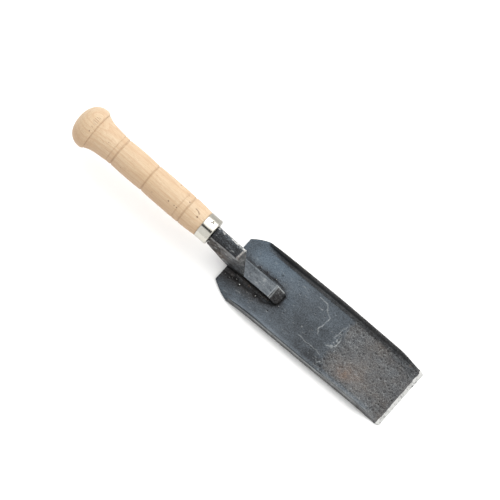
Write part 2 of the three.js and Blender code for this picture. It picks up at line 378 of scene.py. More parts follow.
SCALE_TONES = (
    (0.0, (0.0065, 0.0065, 0.007)),
    (0.25, (0.0235, 0.0255, 0.028)),
    (0.5, (0.068, 0.0785, 0.089)),
    (0.75, (0.121, 0.132, 0.141)),
    (1.0, (0.248, 0.255, 0.255)),
)
BROWN_TONES = (
    (0.0, (0.0083, 0.0062, 0.0048)),
    (0.25, (0.031, 0.0245, 0.0205)),
    (0.5, (0.090, 0.078, 0.069)),
    (0.75, (0.155, 0.1365, 0.1207)),
    (1.0, (0.29, 0.262, 0.2276)),
)


def steel_material(name, streaks=0.5, grit=1.0):
    """Forge scale over steel, steered by the layers that paint() stored.

    tone runs from black to pale, brown and cool shift its hue, wear bares the metal,
    rust and pitted say where those are, and the scratch layer holds pale scratches
    and painted highlights. A layer that isn't stored is 0.
    """
    steel = Paint(name)
    cloud = steel.noise(0.09, 5, 0.6)
    fine = steel.noise(0.75, 4, 0.7)
    speck = steel.noise(1.5, 3, 0.7)
    drawn = steel.noise(1.0, 3, 0.6, steel.mapped((0.05, 1.1, 1.1)))
    pitted = steel.layer("pitted")

    tone = steel.layer("tone")
    shifts = (
        (steel.span(cloud, 0.25, 0.75, -0.06, 0.06), 1.0),
        (steel.span(fine, 0.3, 0.7, -0.11, 0.11), grit),
        (steel.span(speck, 0.3, 0.7, -0.11, 0.11), grit),
        (steel.span(drawn, 0.3, 0.7, -0.09, 0.09), streaks),
    )
    for shift, share in shifts:
        tone = steel.plus(tone, steel.times(shift, share))
    grain = steel.times(steel.span(speck, 0.35, 0.65, -0.14, 0.14), pitted)
    tone = steel.plus(tone, grain, clamp=True)

    grey = steel.ramp(tone, SCALE_TONES)
    brown = steel.ramp(tone, BROWN_TONES)
    patch = steel.span(steel.noise(0.16, 4, 0.6), 0.35, 0.7)
    hue = steel.times(steel.layer("brown"), steel.span(patch, 0, 1, 0.55, 1.0))
    colour = steel.mix(hue, grey, brown)
    colour = steel.mix(steel.layer("cool"), colour, (0.86, 1.0, 1.12), "MULTIPLY")
    rust = steel.times(steel.layer("rust"), steel.span(fine, 0.35, 0.6, 0.3, 1))
    colour = steel.mix(rust, colour, (0.228, 0.148, 0.103))

    # bare metal shows through in broken patches
    break_up = steel.plus(steel.layer("wear"), steel.span(fine, 0.25, 0.75, -0.35, 0.35))
    bare = steel.span(break_up, 0.25, 0.85, 0, 1, smooth=True)
    colour = steel.mix(bare, colour, (0.51, 0.51, 0.497))
    # pale scratches, and painted highlights on pit rims and edges
    scratch_and_glint = steel.times(steel.layer("scratch_and_glint"), 0.75)
    colour = steel.mix(scratch_and_glint, colour, (0.33, 0.345, 0.345))

    roughness = steel.span(fine, 0.2, 0.8, 0.34, 0.52)
    roughness = steel.plus(roughness, steel.times(pitted, 0.12))
    roughness = steel.plus(roughness, steel.times(rust, 0.2), clamp=True)
    relief = steel.plus(steel.times(drawn, 0.35 * streaks), fine)
    pits = steel.times(steel.span(speck, 0.3, 0.5), pitted)
    relief = steel.plus(relief, pits)
    return steel.finish(
        Base_Color=colour,
        Metallic=0.82,
        Roughness=roughness,
        Normal=steel.bump(relief, 0.05 * grit, 0.8),
    )


def ferrule_material():
    metal = Paint("polished_ferrule")
    cloud = metal.noise(0.35, 3, 0.5)
    turned = metal.noise(1.0, 3, 0.6, metal.mapped((0.15, 0.15, 4)))
    stain = metal.span(metal.noise(0.7, 4, 0.6), 0.55, 0.72)
    tarnish = metal.layer("tarnish")
    colour = metal.mix(cloud, (0.50, 0.485, 0.43), (0.575, 0.555, 0.50))
    dull = metal.math("MAXIMUM", metal.times(stain, 0.25), tarnish)
    colour = metal.mix(dull, colour, (0.11, 0.10, 0.083))
    roughness = metal.plus(metal.span(cloud, 0, 1, 0.10, 0.2), metal.times(tarnish, 0.3))
    relief = metal.plus(metal.times(turned, 0.25), cloud)
    return metal.finish(
        Base_Color=colour,
        Metallic=1.0,
        Roughness=roughness,
        Normal=metal.bump(relief, 0.03, 0.7),
    )


def wood_material():
    """Turned pale hardwood in the grip's own frame, where Z runs along the grain."""
    wood = Paint("turned_wood")
    rings_place = wood.mapped((1, 1, 0.1), location=(31, -24, 0), rotation=(0.03, -0.02, 0))
    wander = wood.noise(0.07, 3, 0.5, rings_place)
    warped = wood.node("VectorMath", {0: rings_place, 1: (0, 0, 0)}, operation="ADD")
    shift = {"X": wood.span(wander, 0, 1, -6, 6), "Y": wood.span(wander, 0, 1, 4, -4)}
    wood.put(warped.inputs[1], wood.node("CombineXYZ", shift).outputs[0])
    rings = wood.node(
        "TexWave",
        {
            "Vector": warped.outputs[0],
            "Scale": 0.088,
            "Distortion": 1.2,
            "Detail": 2.0,
            "Detail Scale": 0.7,
        },
        wave_type="RINGS",
        rings_direction="Z",
        wave_profile="SAW",
    ).outputs["Fac"]
    fibre = wood.noise(1.0, 4, 0.65, wood.mapped((1.5, 1.5, 0.07)))
    pores = wood.noise(1.0, 2, 0.5, wood.mapped((3.4, 3.4, 0.32)))
    cloud = wood.noise(0.045, 3, 0.5, wood.mapped((1, 1, 0.4)))
    turned = wood.noise(1.0, 3, 0.6, wood.mapped((0.06, 0.06, 1.7)))

    colour = wood.mix(wood.span(cloud, 0.3, 0.7), (0.525, 0.400, 0.262), (0.575, 0.470, 0.338))
    shades = (
        (wood.span(rings, 0.5, 1.0, 0, 0.55), (0.43, 0.272, 0.162)),
        (wood.span(fibre, 0.38, 0.66, 0, 0.62), (0.415, 0.276, 0.162)),
        (wood.span(pores, 0.58, 0.70, 0, 0.55), (0.303, 0.183, 0.103)),
        (wood.span(turned, 0.5, 0.75, 0, 0.22), (0.414, 0.276, 0.172)),
        # darkening from hands, with painted shade on the right side
        (wood.times(wood.layer("handled_and_shaded"), 0.62), (0.40, 0.250, 0.142)),
        # darker in the grooves, with a painted shadow in the knob's crease
        (wood.times(wood.layer("groove"), 0.45), (0.25, 0.148, 0.078)),
        (wood.layer("mark"), (0.09, 0.045, 0.021)),
    )
    for amount, shade in shades:
        colour = wood.mix(amount, colour, shade)

    relief = wood.plus(wood.times(fibre, 0.8), wood.times(turned, 0.7))
    relief = wood.math("SUBTRACT", relief, wood.times(wood.span(pores, 0.6, 0.7), 0.5))
    return wood.finish(
        Base_Color=colour,
        Roughness=wood.span(fibre, 0.3, 0.7, 0.42, 0.58),
        Specular_IOR_Level=0.28,
        Normal=wood.bump(relief, 0.07, 0.7),
    )


# ---- blade

def half_width(along, side):
    shoulder = SHOULDER_LENGTH[side]
    part = along / shoulder
    clipped = lerp(REAR_HALF_WIDTH, SHOULDER_HALF_WIDTH, part)
    clipped = clipped + SHOULDER_BULGE * np.sin(np.pi * part)
    taper = (along - shoulder) / (BLADE_LENGTH - shoulder)
    body = lerp(SHOULDER_HALF_WIDTH, FRONT_HALF_WIDTH, taper)
    bow = ease(along, *BOW_RISE) * ease(BLADE_LENGTH - along, 0, BOW_FADE)
    body = body + SIDE_BOW[side] * bow
    body = body - CORNER_RELIEF * ease(along, BLADE_LENGTH - BEVEL_RUN, BLADE_LENGTH)
    return np.where(along < shoulder, clipped, body)


def flange_growth(along, side):
    shoulder = SHOULDER_LENGTH[side]
    past = np.clip((along - shoulder) / FLANGE_RISE, 0, 1)
    return past * (2 - past) * ease(BLADE_LENGTH - along, *FLANGE_FADE)


def bezier(start, control, end, count):
    part = np.linspace(0, 1, count)[:, None, None]
    return (1 - part) ** 2 * start + 2 * part * (1 - part) * control + part**2 * end


def straight(start, end, count):
    """Points strictly between two ends."""
    part = (np.arange(1, count + 1) / (count + 1))[:, None, None]
    return start + (end - start) * part


def side_section(along, side):
    """One side's section at every station, from the outer edge inwards."""
    growth = flange_growth(along, side)
    height = FLANGE_HEIGHT * growth
    outer = half_width(along, side)
    crest = outer - FLANGE_EDGE
    fold = crest - FLANGE_FOOT_RUN - FLANGE_RUN * growth
    under_fold = fold + FLANGE_EDGE + FLANGE_FOOT_RUN

    def at(y, z):
        return np.stack([y + 0 * along, z + 0 * along], axis=-1)

    shelf = at(crest, SHEET + height)
    start = at(lerp(fold, crest, FLANGE_STRAIGHT), SHEET + FLANGE_STRAIGHT * height)
    shelf_end = lerp(shelf, start, 0.3)
    face_top, face_foot = FLANGE_FACE
    lip = at(outer, height + face_top * SHEET)
    over = [
        bezier(lip, at(outer, height + SHEET), at(outer - 0.5, height + SHEET), 6),
        bezier(at(crest + 0.35, SHEET + height), shelf, shelf_end, 5),
        straight(shelf_end, start, 3),
        bezier(start, at(fold, SHEET), at(fold - FLANGE_BEND, SHEET), 10),
    ]
    drop = at(outer - FLANGE_LEAN * growth, height + face_foot * SHEET)
    knee, under_start = (
        at(lerp(under_fold, outer, out), out * height + thick * SHEET) for out, thick in FLANGE_KNEES
    )
    under = [
        straight(lip, drop, 2),
        straight(drop, knee, 6),
        straight(knee, under_start, 5),
        bezier(under_start, at(under_fold, 0), at(under_fold - FLANGE_BEND, 0), 11),
    ]
    return np.concatenate(over), np.concatenate(under)


def blade_row(sides):
    """Joins both sides' points with the floor between them: (station, column, yz)."""
    right = sides["right"] * np.array([-1, 1])
    left = sides["left"][::-1]
    floor = straight(right[-1], left[0], FLOOR_COLUMNS)
    return np.concatenate([right, floor, left]).transpose(1, 0, 2)


# the rear boundary of the worn, pitted front
PITTED_LINE = (
    (30, -34), (27.8, -25.7), (22.7, -18.5), (20.2, -9),
    (22.6, 1), (21.3, 11.5), (18.7, 18.5), (26, 34),
)
# scratches on the blade: strength and path
SCRATCHES = (
    (0.9, ((-15.5, 23), (-12, 23), (-7.3, 21.9), (-2.7, 17.3),
           (2.6, 13.8), (1.9, 6.8), (0.6, 0.5), (3.4, -3.4))),
    (0.55, ((-9.3, -13.9), (-5.7, -14.2), (-1.5, -15.2), (3.1, -14.1), (10.1, -14.4), (16.8, -15.6))),
    (0.6, ((16, 4), (17, 10.1), (17.9, 15.5), (18.7, 18.5))),
    (0.95, ((21.6, 4.8), (21.9, -0.7), (19.2, -4.2), (14.9, -5.6))),
    (0.85, ((19.1, -23.4), (19.8, -20.4), (22.9, -19.4))),
    (0.7, ((53.4, 18.5), (53.3, 22.5), (56.5, 24), (57.3, 28.2))),
)
# beads of weld metal on the blade: place and radius
SPATTER = (
    (-90.8, -14.3, 0.45), (-86, -14.7, 0.6), (-80.2, -11.9, 0.75), (-75.1, -13.7, 1.15),
    (-58.4, -12.6, 0.95), (-83.5, -13.2, 0.4), (-66, -14.6, 0.4), (-54.2, 10.2, 0.6),
    (-63.5, 10.6, 0.5), (-71, 10.2, 0.45), (-41, 4.5, 0.45), (-37.6, -6.5, 0.4),
)


def pitted_zone(points):
    """1 on the worn front of the blade, with a ragged rear boundary."""
    line_y = [y for _, y in PITTED_LINE]
    line_x = [x for x, _ in PITTED_LINE]
    boundary = np.interp(points[:, 1], line_y, line_x)
    ragged = 4.5 * fractal(points, 9, 31, 4)
    return ease(points[:, 0] - boundary + ragged, -2.5, 3.5)


PIT_COUNT = 620
PIT_SEED = 12
PITS_IN_FRONT = 0.8                 # the share of them that lies in the worn front
FRONT_X = 18


def blade_relief(points, zone):
    """Height of the surface's dents in millimetres, with pits and painted highlights on one side of
    their rims, from 0 to 1.
    """
    flat = points * np.array([1, 1, 0])
    relief = 0.09 * fractal(flat, 24, 3, 2) + 0.03 * fractal(flat, 5, 5, 2)
    relief += zone * 0.05 * fractal(flat, 2.2, 8, 2)
    pits = np.zeros(len(points))
    rim_highlights = np.zeros(len(points))
    draw = np.random.default_rng(PIT_SEED)
    for _ in range(PIT_COUNT):
        worn = draw.random() < PITS_IN_FRONT
        low_x = FRONT_X if worn else REAR_X
        centre = (draw.uniform(low_x, EDGE_X - 5), draw.uniform(-28, 28))
        radius = draw.uniform(0.5, 1.5 if worn else 0.9)
        depth = draw.uniform(0.04, 0.13)
        near = np.hypot(flat[:, 0] - centre[0], flat[:, 1] - centre[1]) / radius
        hit = near < 1
        relief[hit] -= depth * (1 - near[hit] ** 2)
        pits[hit] = np.maximum(pits[hit], 7 * depth * (1 - near[hit] ** 2))
        # a painted highlight on each pit's rim, only on its -Y side
        ringed = near < 1.7
        side = ease(centre[1] - flat[ringed, 1], 0.1, 0.5)
        rim = 6 * depth * falloff(near[ringed] - 1.15, 0.22) * side
        rim_highlights[ringed] = np.maximum(rim_highlights[ringed], rim)
    return relief, pits, rim_highlights


# the weld's outline on the blade: a thin painted contact shadow follows it,
# and the blade darkens a little further out
WELD_OUTLINE = (
    (-97, -12), (-70, -12.6), (-50, -12.4), (-42, -9), (-38.2, -4.8),
    (-38.2, 2.8), (-41, 6), (-47, 8.6), (-66, 8.8), (-84, 7.4),
)
# lighter and darker patches: the rear is bluer and lighter on the left, and darkest by the weld
TONE_PATCHES = (
    (0.10, (-50, 19), (34, 11)), (0.05, (-74, 14), (16, 10)), (-0.10, (-72, -15), (24, 7)),
    (-0.11, (-92, -14), (8, 9)), (0.05, (-40, -24), (30, 6)), (-0.09, (-40, -7), (8, 8)),
    (-0.06, (0, -8), (22, 13)), (-0.13, (10, -24), (17, 6)), (-0.30, (-52.4, 16.4), (0.9, 0.9)),
)
FRONT_PATCHES = ((0.05, (50, -10), (24, 12)), (-0.07, (70, -4), (12, 12)), (-0.07, (86, -10), (5, 26)))
BROWN_PATCHES = (
    (-0.5, (72, 27), (9, 5)), (0.55, (-74, -13), (26, 6)),
    (0.4, (-93, -8), (6, 12)), (0.25, (-44, 10), (8, 8)),
)
RUST_PATCHES = ((0.75, (42, -15), (7, 5)), (0.25, (50, -9), (10, 6)), (0.5, (81, 27.5), (1.3, 1.0)))


def floor_layers(points, zone, upper):
    """Tone, brown and cool of the blade, before its flanges."""
    x, y = points[:, 0], points[:, 1]
    patch = fractal(points, 22, 40, 3)
    tone = 0.385 + 0.06 * patch + 0.04 * fractal(points, 4.5, 42, 3) + spots(points, TONE_PATCHES)
    tone += zone * (0.105 + 0.09 * fractal(points, 6, 44, 4) + 0.05 * fractal(points, 2.4, 49, 2))
    tone += zone * spots(points, FRONT_PATCHES)
    tone -= zone * 0.10 * ease(y, 13, 25) * ease(x, 40, 75)
    brown = zone * (0.55 + 0.35 * fractal(points, 12, 50, 2)) + spots(points, BROWN_PATCHES)
    cool = (1 - zone) * (0.3 + 0.55 * ease(x, -10, -60)) * (0.8 + 0.4 * patch)
    cool *= 0.45 + 0.55 * ease(y, -16, 4)

    shaky = points + 0.8 * np.stack([value_noise(points, 3.5, 46 + k) for k in range(3)], axis=1)
    from_weld = line_distance(shaky, WELD_OUTLINE)
    broken_left = 0.25 + 0.75 * spot(points, (-57, 9), (14, 5))
    contact_shadow_share = np.where(y > 4, broken_left, 0.9) * upper
    # a painted contact shadow along the weld's outline, broken on the left, then a wider darkening
    tone -= 0.30 * falloff(from_weld, 0.8) * contact_shadow_share
    tone -= 0.09 * falloff(from_weld, 3.2) * upper
    # a speckled halo on the left, a brown strip behind the bead on the right
    halo = spot(points, (-70, 9), (26, 4)) * upper
    tone += halo * (0.16 * fractal(points, 1.7, 47, 2) - 0.03)
    brown += 0.35 * halo
    strip = ease(x, -80, -86) * ease(np.abs(y + 10.6), 2.2, 1.6) * upper
    tone = lerp(tone, 0.40 + 0.12 * fractal(points, 2.2, 48, 3), strip)
    brown = lerp(brown, 0.9, strip)
    # a painted shadow under each bead of spatter, set a little off towards -X and -Y
    for ball_x, ball_y, radius in SPATTER:
        tone -= 0.34 * spot(points, (ball_x - 0.3, ball_y - 0.3), (radius * 1.4, radius * 1.4))
    return tone, brown, cool


def flange_layers(points, tone, brown, cool, worn):
    """Paints both flanges over the floor's layers, and finds the right one's bright corner."""
    x, y = points[:, 0], points[:, 1]
    along = x - REAR_X
    mottle = fractal(points, 4.5, 42, 3)
    fading = ease(BLADE_LENGTH - along, 3, 16)
    started = {
        side: ease(along, shoulder - 0.5, shoulder + 1.5)
        for side, shoulder in SHOULDER_LENGTH.items()
    }

    # left: black along the top, dull brown in the bend, a darker line at its foot
    inward = half_width(along, "left") - y
    grown = flange_growth(along, "left")
    bend = ease(inward, 6.6, 5.2) * grown
    tone = lerp(tone, 0.42 + 0.14 * ease(inward, 4.6, 3.6) + 0.08 * mottle, bend)
    brown = lerp(brown, 0.45, bend)
    cool = cool * (1 - bend)
    tone -= 0.12 * grown * falloff(inward - 6.1, 0.5)
    top = ease(inward, 2.4, 1.8) * started["left"] * fading
    tone = lerp(tone, 0.13 + 0.07 * mottle, top)
    pale = ease(x, -44, -20) * ease(x, 92, 80) * ease(inward, 0.8, 0.35)
    tone = lerp(tone, 0.50, pale * worn)

    # right: a painted highlight up the bend, a bright worn corner,
    # then a dark top with a brown outer edge
    inward = half_width(along, "right") + y
    grown = flange_growth(along, "right")
    # the painted highlight: paler and less brown up the bend
    tone += grown * (0.05 * ease(inward, 9, 6) + 0.34 * ease(inward, 5.4, 3.6))
    brown -= 0.6 * grown * ease(inward, 9, 6)
    top = ease(inward, 2.5, 2.1) * started["right"] * fading
    outer = ease(inward, 1.2, 0.6)
    tone = lerp(tone, lerp(0.20, 0.44, outer) + 0.12 * mottle, top)
    brown = lerp(brown, lerp(0.3, 0.8, outer), top)
    corner_line = falloff(inward - 2.2, 0.36) * started["right"] * fading
    return tone, brown, cool, corner_line


def scratch_layer(points, zone):
    """Single scratches, and flakes of bare metal near and inside the worn front."""
    scratch_and_glint = np.zeros(len(points))
    wobble = points.copy()
    wobble[:, 0] += 0.5 * value_noise(points, 2.3, 60)
    wobble[:, 1] += 0.5 * value_noise(points, 2.3, 61)
    broken = 0.75 + 0.45 * value_noise(points, 2.0, 63)
    for strength, path in SCRATCHES:
        line = falloff(line_distance(wobble, path), 0.26)
        scratch_and_glint = np.maximum(scratch_and_glint, strength * line * broken)
    flakes = ease(fractal(points, 1.7, 70, 2), 0.45, 0.7)
    near_line = falloff(line_distance(points, PITTED_LINE), 5)
    scratch_and_glint = np.maximum(scratch_and_glint, flakes * np.maximum(0.85 * near_line, 0.5 * zone))
    fleck = ease(fractal(points, 1.3, 71, 2), 0.15, 0.45)
    scratch_and_glint = np.maximum(scratch_and_glint, 0.65 * fleck * spot(points, (19.5, 1), (3.5, 8)))
    stray = ease(fractal(points * np.array([0.35, 1, 1]), 1.3, 73, 2), 0.6, 0.8)
    return np.maximum(scratch_and_glint, 0.3 * stray)


def blade_layers(points, rim, bevel, zone):
    upper = points[:, 2] > 0.9
    worn = 0.5 + 0.5 * fractal(points, 7, 75, 3)
    tone, brown, cool = floor_layers(points, zone, upper)
    tone, brown, cool, corner_line = flange_layers(points, tone, brown, cool, worn)
    scratch_and_glint = np.where(upper & (rim < 0.5), scratch_layer(points, zone), 0)
    scratch_and_glint = np.maximum(scratch_and_glint, 0.75 * corner_line * (0.35 + worn))
    ground = bevel * (0.80 + 0.45 * fractal(points, 2.2, 80, 3))
    rust = spots(points, RUST_PATCHES) * (0.6 + 0.6 * fractal(points, 4, 85, 3))
    return {
        "tone": tone,
        "brown": brown,
        "cool": cool,
        "wear": np.maximum(0.10 * rim * worn, ground),
        "rust": rust,
        "pitted": zone,
        "scratch_and_glint": scratch_and_glint,
    }


def blade_piece():
    along = np.append(
        np.linspace(0, BLADE_LENGTH - EDGE_ZONE, 350),
        np.linspace(BLADE_LENGTH - EDGE_ZONE, BLADE_LENGTH, 30)[1:],
    )
    sides = {side: side_section(along, side) for side in ("right", "left")}
    top = blade_row({side: both[0] for side, both in sides.items()})
    bottom = blade_row({side: both[1] for side, both in sides.items()})
    section = np.concatenate([top, bottom[:, ::-1]], axis=1)
    stations, around = section.shape[:2]
    x = np.repeat((REAR_X + along)[:, None], around, axis=1)
    points = np.concatenate([x[:, :, None], section], axis=2).reshape(-1, 3)

    columns = top.shape[1]
    column = np.tile(np.arange(around), stations)
    on_top = column < columns
    from_side = np.minimum(column, columns - 1 - column)
    rim = np.where(on_top, ease(from_side, 10, 6), 0)

    # the cutting edge: a hand-ground bevel with an uneven run
    across = points * np.array([0, 1, 0])
    run = BEVEL_RUN + 0.35 * value_noise(across, 9, 2) + 0.2 * value_noise(across, 2.5, 4)
    to_edge = EDGE_X - points[:, 0]
    thickness = lerp(CUTTING_LAND, SHEET, np.clip(to_edge / run, 0, 1))
    growth = {side: flange_growth(points[:, 0] - REAR_X, side) for side in sides}
    grown = np.where(points[:, 1] > 0, growth["left"], growth["right"])
    flat_share = 1 - ease(grown, 0, 0.02)
    points[:, 2] *= lerp(1, thickness / SHEET, flat_share)
    bevel = np.where(on_top, ease(to_edge - run, 0.25, -0.15), 0)
    nib = ease(to_edge, BEVEL_NIB, BEVEL_NIB - 1.5) * ease(from_side, 8, 5) * (points[:, 1] > 0)
    bevel = np.maximum(bevel, np.where(on_top, nib, 0))

    zone = np.where(on_top, pitted_zone(points), 0)
    relief, pits, rim_highlights = blade_relief(points, zone)
    relief *= np.where(on_top, ease(from_side, 4, 12) * (1 - 0.75 * bevel), 0)
    layers = blade_layers(points, rim, bevel, zone)
    layers["tone"] = layers["tone"] - 0.20 * pits * on_top
    # the pits' painted rim highlights go into the scratch layer
    layers["scratch_and_glint"] = np.maximum(layers["scratch_and_glint"], 0.42 * rim_highlights * on_top * (1 - rim))
    points[:, 2] += relief
    chips = 0.22 * np.abs(fractal(points * np.array([0, 1, 0]), 3, 90, 3))
    points[:, 0] -= chips * ease(to_edge, 0.6, 0)

    faces = ring_faces(stations, around)
    for first in (0, (stations - 1) * around):
        for j in range(columns - 1):
            a, b = first + j, first + j + 1
            faces.append((a, b, first + around - 2 - j, first + around - 1 - j))
    blade = mesh_piece("blade_forged", points, faces, 50)
    paint(blade, **layers)
    blade.data.materials.append(steel_material("blade_scale", streaks=0.12))
    return blade


# ---- shank

def voxel_copy(node, name, voxel):
    """A finely divided copy of a CAD node's mesh, for working over."""
    shell = bmesh.new()
    shell.from_mesh(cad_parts[node].data)
    bmesh.ops.remove_doubles(shell, verts=shell.verts, dist=1e-6)
    rough = bpy.data.meshes.new(name)
    shell.to_mesh(rough)
    shell.free()
    piece = bpy.data.objects.new(name, rough)
    bpy.context.scene.collection.objects.link(piece)
    remesh = piece.modifiers.new("voxels", "REMESH")
    remesh.mode = "VOXEL"
    remesh.voxel_size = voxel * MM
    graph = bpy.context.evaluated_depsgraph_get()
    fine = bpy.data.meshes.new_from_object(piece.evaluated_get(graph))
    piece.modifiers.clear()
    piece.data = fine
    piece.data.materials.clear()
    return piece


# the path of a forging lap that runs across the right flank
LAP = ((-108, -9.6), (-105.4, -9.0), (-103.6, -7.4), (-102, -8.0), (-101, -9.4))
LAP_DEPTH = 0.45
SEAT_DROP = 0.24                    # closes the CAD solids' gap between foot and blade


def shown_part(points):
    """1 where the shank shows, 0 inside the handle."""
    return ease(points[:, 0], -118, -114)


def forge(shank, edges):
    """Softens, hammers and seats the CAD copy. Gives the depth of the lap at each point."""
    points = mesh_points(shank)
    for _ in range(5):
        points = relax(points, edges, 1, 0.5)
        points = relax(points, edges, 1, -0.5)
    points = relax(points, edges, 1, 0.5)
    move_points(shank, points)
    normals = mesh_normals(shank)
    hammered = 0.16 * fractal(points, 9, 100, 2) + 0.06 * fractal(points, 2.8, 103, 3)
    points = points + normals * (hammered * shown_part(points))[:, None]
    # the foot sits right on the blade
    low = ease(points[:, 2], 4.5, 3.2) * (points[:, 0] > REAR_X - 3)
    points[:, 2] -= SEAT_DROP * low
    flank = ease(-normals[:, 1], 0.35, 0.6) * ease(points[:, 2], 24, 28)
    cut = falloff(line_distance(points, LAP), 0.85) * flank
    move_points(shank, points - normals * (LAP_DEPTH * cut)[:, None])
    return cut


def shank_layers(points, normals, bend, cut):
    x, y, z = points.T
    shown = shown_part(points)
    streaky = points * np.array([0.3, 1, 0.3])
    up = ease(normals[:, 2], 0.78, 0.92)
    neck_top = up * ease(z, 27, 31)
    foot_top = up * ease(z, 15, 13.8) * ease(z, 10.5, 11.2)
    nose_face = ease(normals[:, 0], 0.35, 0.6) * ease(x, -50, -48)
    right_side = ease(-normals[:, 1], 0.5, 0.75)
    right_flank = right_side * ease(z, 12, 20)
    step_face = ease(normals[:, 0], 0.5, 0.75) * ease(x, -70, -74)
    scraped = ease(x, -108, -86)
    blotch = ease(fractal(points, 3.2, 150, 3), 0.0, 0.35) * right_flank * (1 - 0.6 * scraped)
    below_lap = spot(points, (-101, -9.5, 24), (6, 3, 5)) * right_flank

    # the flank is reddish and dark at the ferrule, and scraped grey towards the foot
    step_tone = lerp(0.60, 0.86, ease(z, 22, 34)) + 0.2 * fractal(streaky, 2.0, 118, 3)
    speckled = 0.19 + 0.12 * fractal(points, 1.6, 113, 3) + 0.20 * ease(y, 0.5, 5.2)
    flank_tone = lerp(0.30, 0.54, scraped) + 0.34 * fractal(streaky, 1.8, 125, 4)
    tone = 0.40 + 0.08 * fractal(points, 6, 110, 3)
    for face_tone, face in (
        (speckled, neck_top),
        (0.54 + 0.18 * fractal(streaky, 1.9, 116, 4), foot_top),
        (step_tone, step_face),
        (0.34 + 0.16 * fractal(points, 1.8, 119, 3), nose_face),
        # the foot's right side, facing away from the light, is painted near black as painted shade
        (0.05, right_side * (1 - ease(z, 11.5, 16))),
        (flank_tone, right_flank),
    ):
        tone = lerp(tone, face_tone, face)
    # the darkest band lies along the neck's right edge, inside the pale one
    tone -= 0.32 * blotch + 0.08 * neck_top * ease(-y, 1.5, 3.0)
    tone -= 0.42 * cut + 0.18 * ease(-bend, 0.06, 0.3) + 0.16 * below_lap
    tone += 0.10 * spot(points, (-108, -7.5, 35), (5, 3, 6)) * right_flank
    brown = 0.2 + lerp(0.9, 0.15, scraped) * right_flank + 0.35 * nose_face + 0.1 * step_face
    brown = brown + 0.3 * blotch + 0.3 * fractal(points, 5, 130, 2)
    brown = lerp(brown, 0.04, np.maximum(neck_top, foot_top))
    # a pale worn strip ends the neck's top, and a painted contact shadow
    # darkens the foot where it meets the blade
    neck_end = NECK_END_X + 0.11 * (y + 5)
    end_strip = neck_top * ease(x - neck_end, -2.3, -1.6)
    tone = lerp(tone, 0.80 + 0.1 * fractal(points, 1.6, 139, 2), end_strip)
    brown = lerp(brown, 0.6, end_strip)
    tone = lerp(tone, 0.08, ease(z, 5.4, 4.0) * (x > REAR_X + 2))

    # bare metal: along the ridges, and rubbed onto some faces
    ridge = ease(bend, 0.10, 0.34)
    keen = ridge * (0.72 + 0.5 * fractal(points, 5, 135, 3) + 0.2 * ease(x, -52, -48))
    keen = keen * (0.72 + 0.5 * ease(y, 1, 4) * ease(z, 30, 34))
    left_edge = neck_top * ease(y, 3.2, 4.6)
    nose_strip = ease(x, FOOT_TOP_END_X - 0.6, FOOT_TOP_END_X + 0.2) * ease(z, 10.2, 11.2)
    for rubbed in (
        0.75 * left_edge * (0.55 + fractal(points, 3, 138, 2)),
        step_face * (0.30 + 0.30 * fractal(streaky, 1.6, 141, 3)),
        right_flank * scraped * (0.12 + 0.4 * fractal(streaky, 1.5, 144, 3)),
        nose_strip * (0.12 + 0.2 * fractal(points, 1.5, 140, 2)),
    ):
        keen = np.maximum(keen, rubbed)

    # pale lines: both edges of the nose's strip and the neck's right ridge,
    # and a painted highlight along the nose's left side and that side's top edge
    pale = 0.55 * falloff(x - FOOT_TOP_END_X + 0.2, 0.4)
    pale += falloff(x - FOOT_TOP_END_X - NOSE_STRIP, 0.4)
    pale *= ease(z, 9.6, 10.6) * (0.75 + 0.4 * fractal(points, 2, 143, 2))
    ridge_y = lerp(-5.9, -5.6, ease(x, -116, -86))
    ridge_line = falloff(y - ridge_y, 0.34) * ease(z, 35, 37) * shown
    nose_side_highlight = ease(normals[:, 1], 0.2, 0.5) * ease(x, -50.5, -48.6)
    nose_side_highlight = nose_side_highlight * ease(z, 4.5, 5.5) * ease(bend, 0.05, 0.2)
    slope_gap = line_distance(points[:, [0, 2]], NOSE_SLOPE)
    fleck_start = 0.40 - 0.12 * right_flank
    flecks = ease(fractal(streaky, 1.2, 142, 2) - fleck_start, 0, 0.25)
    for line in (
        0.75 * ridge_line * (0.5 + 0.6 * fractal(points, 4, 145, 2)),
        0.95 * nose_side_highlight,
        falloff(slope_gap, 0.6) * ease(y, 3.7, 4.4),
        flecks * shown * (0.35 + 0.35 * right_flank),
    ):
        pale = np.maximum(pale, line)
    return {
        "tone": tone,
        "brown": brown,
        "wear": keen * shown,
        "rust": 0.35 * below_lap + 0.5 * spot(points, (-84.5, -5, 38.5), (2.0, 2.0, 2.0)),
        "pitted": 0.12 + 0.7 * neck_top + 0.35 * nose_face,
        "scratch_and_glint": pale,
    }


def shank_piece():
    shank = voxel_copy("shank", "shank_forged", SHANK_VOXEL)
    edges = mesh_edges(shank)
    cut = forge(shank, edges)
    points = mesh_points(shank)
    normals = mesh_normals(shank)
    bend = np.sum((points - relax(points, edges, 20)) * normals, axis=1)
    paint(shank, **shank_layers(points, normals, bend, cut))
    shank.data.shade_smooth()
    shank.data.materials.append(steel_material("shank_scale", streaks=0.7, grit=0.85))
    return shank


# ---- welds

# for each bead: seed, height of its ripples, unevenness, tone and brownness
BEAD_LOOK = {
    "left": (230, 0.26, 0.30, 0.40, 0.30),
    "right": (200, 0.10, 0.10, 0.35, 0.70),
}


